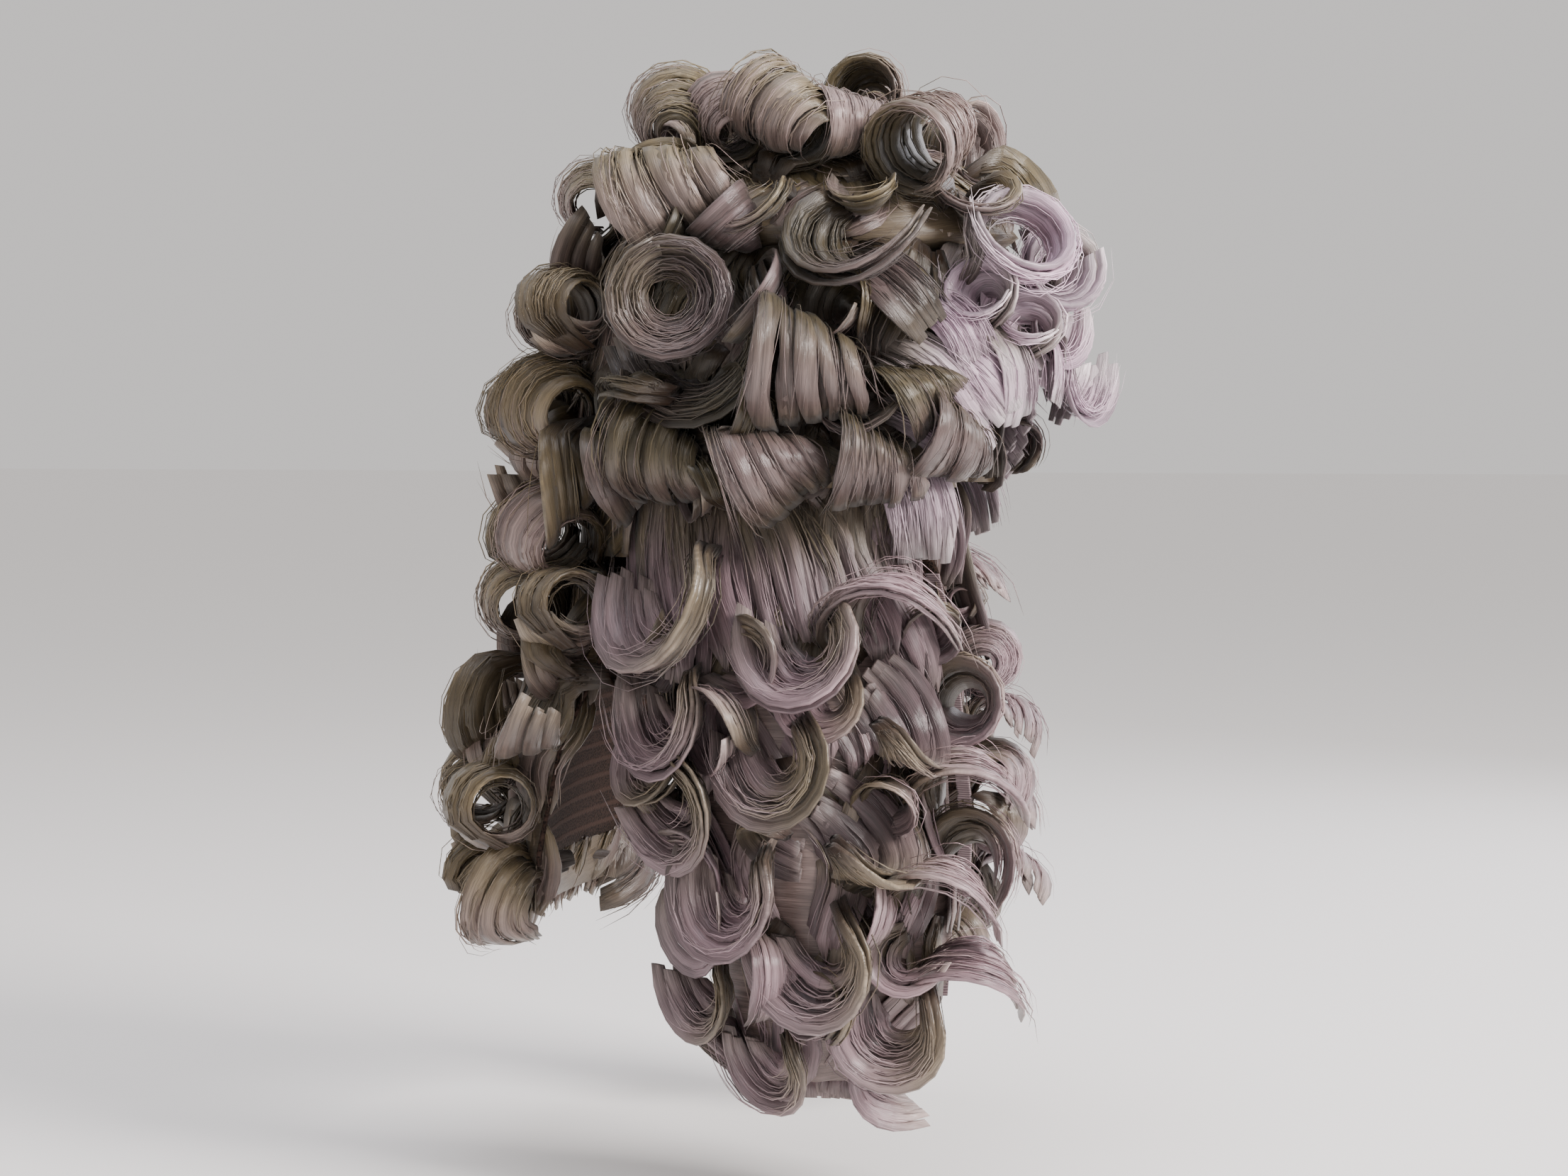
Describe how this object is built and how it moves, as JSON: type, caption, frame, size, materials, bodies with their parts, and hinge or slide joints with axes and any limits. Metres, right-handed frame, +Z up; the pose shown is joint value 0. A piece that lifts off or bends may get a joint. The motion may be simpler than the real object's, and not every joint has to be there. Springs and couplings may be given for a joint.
{
  "type": "powdered wig",
  "caption": "Long full-bottomed powdered wig: big crown rolls, short curled fringe, two curled lappets in front and a curled back curtain on a net cap.",
  "frame": {"origin": "inside of the cap at the top of the head, where the wig sits on its wearer", "axes": "+Z up, the wearer faces -Y, the wearer's right is -X"},
  "size_m": [0.3372, 0.3543, 0.5245],
  "materials": {
    "net": "dark brown wefted net, matt",
    "tape": "mauve-grey folded cotton tape, matt",
    "hair_crown": "silver-grey synthetic hair with a khaki cast, satin",
    "hair_front": "silver synthetic hair with a lilac cast, satin",
    "hair_side": "silver-grey synthetic hair, khaki and lilac, satin",
    "hair_straight": "smooth mauve-grey synthetic hair, satin",
    "hair_back": "grey-brown synthetic hair with a khaki cast, satin",
    "hair_lappet": "mauve-grey synthetic hair with lilac tips, satin"
  },
  "bodies": {
    "root": {"cap": "net", "cap_binding": "tape", "right_lappet_panel": "net", "left_lappet_panel": "net", "right_lappet_binding": "tape", "left_lappet_binding": "tape", "back_panel": "net", "crown_hair": "hair_crown", "fringe_hair": "hair_front", "right_side_hair": "hair_side", "left_side_hair": "hair_side", "right_straight_hair": "hair_straight", "left_straight_hair": "hair_straight", "right_cheek_lock": "hair_front", "left_cheek_lock": "hair_front", "back_hair": "hair_back", "right_lappet_hair": "hair_lappet", "left_lappet_hair": "hair_lappet", "curtain_hair": "hair_back"}
  },
  "joints": []
}
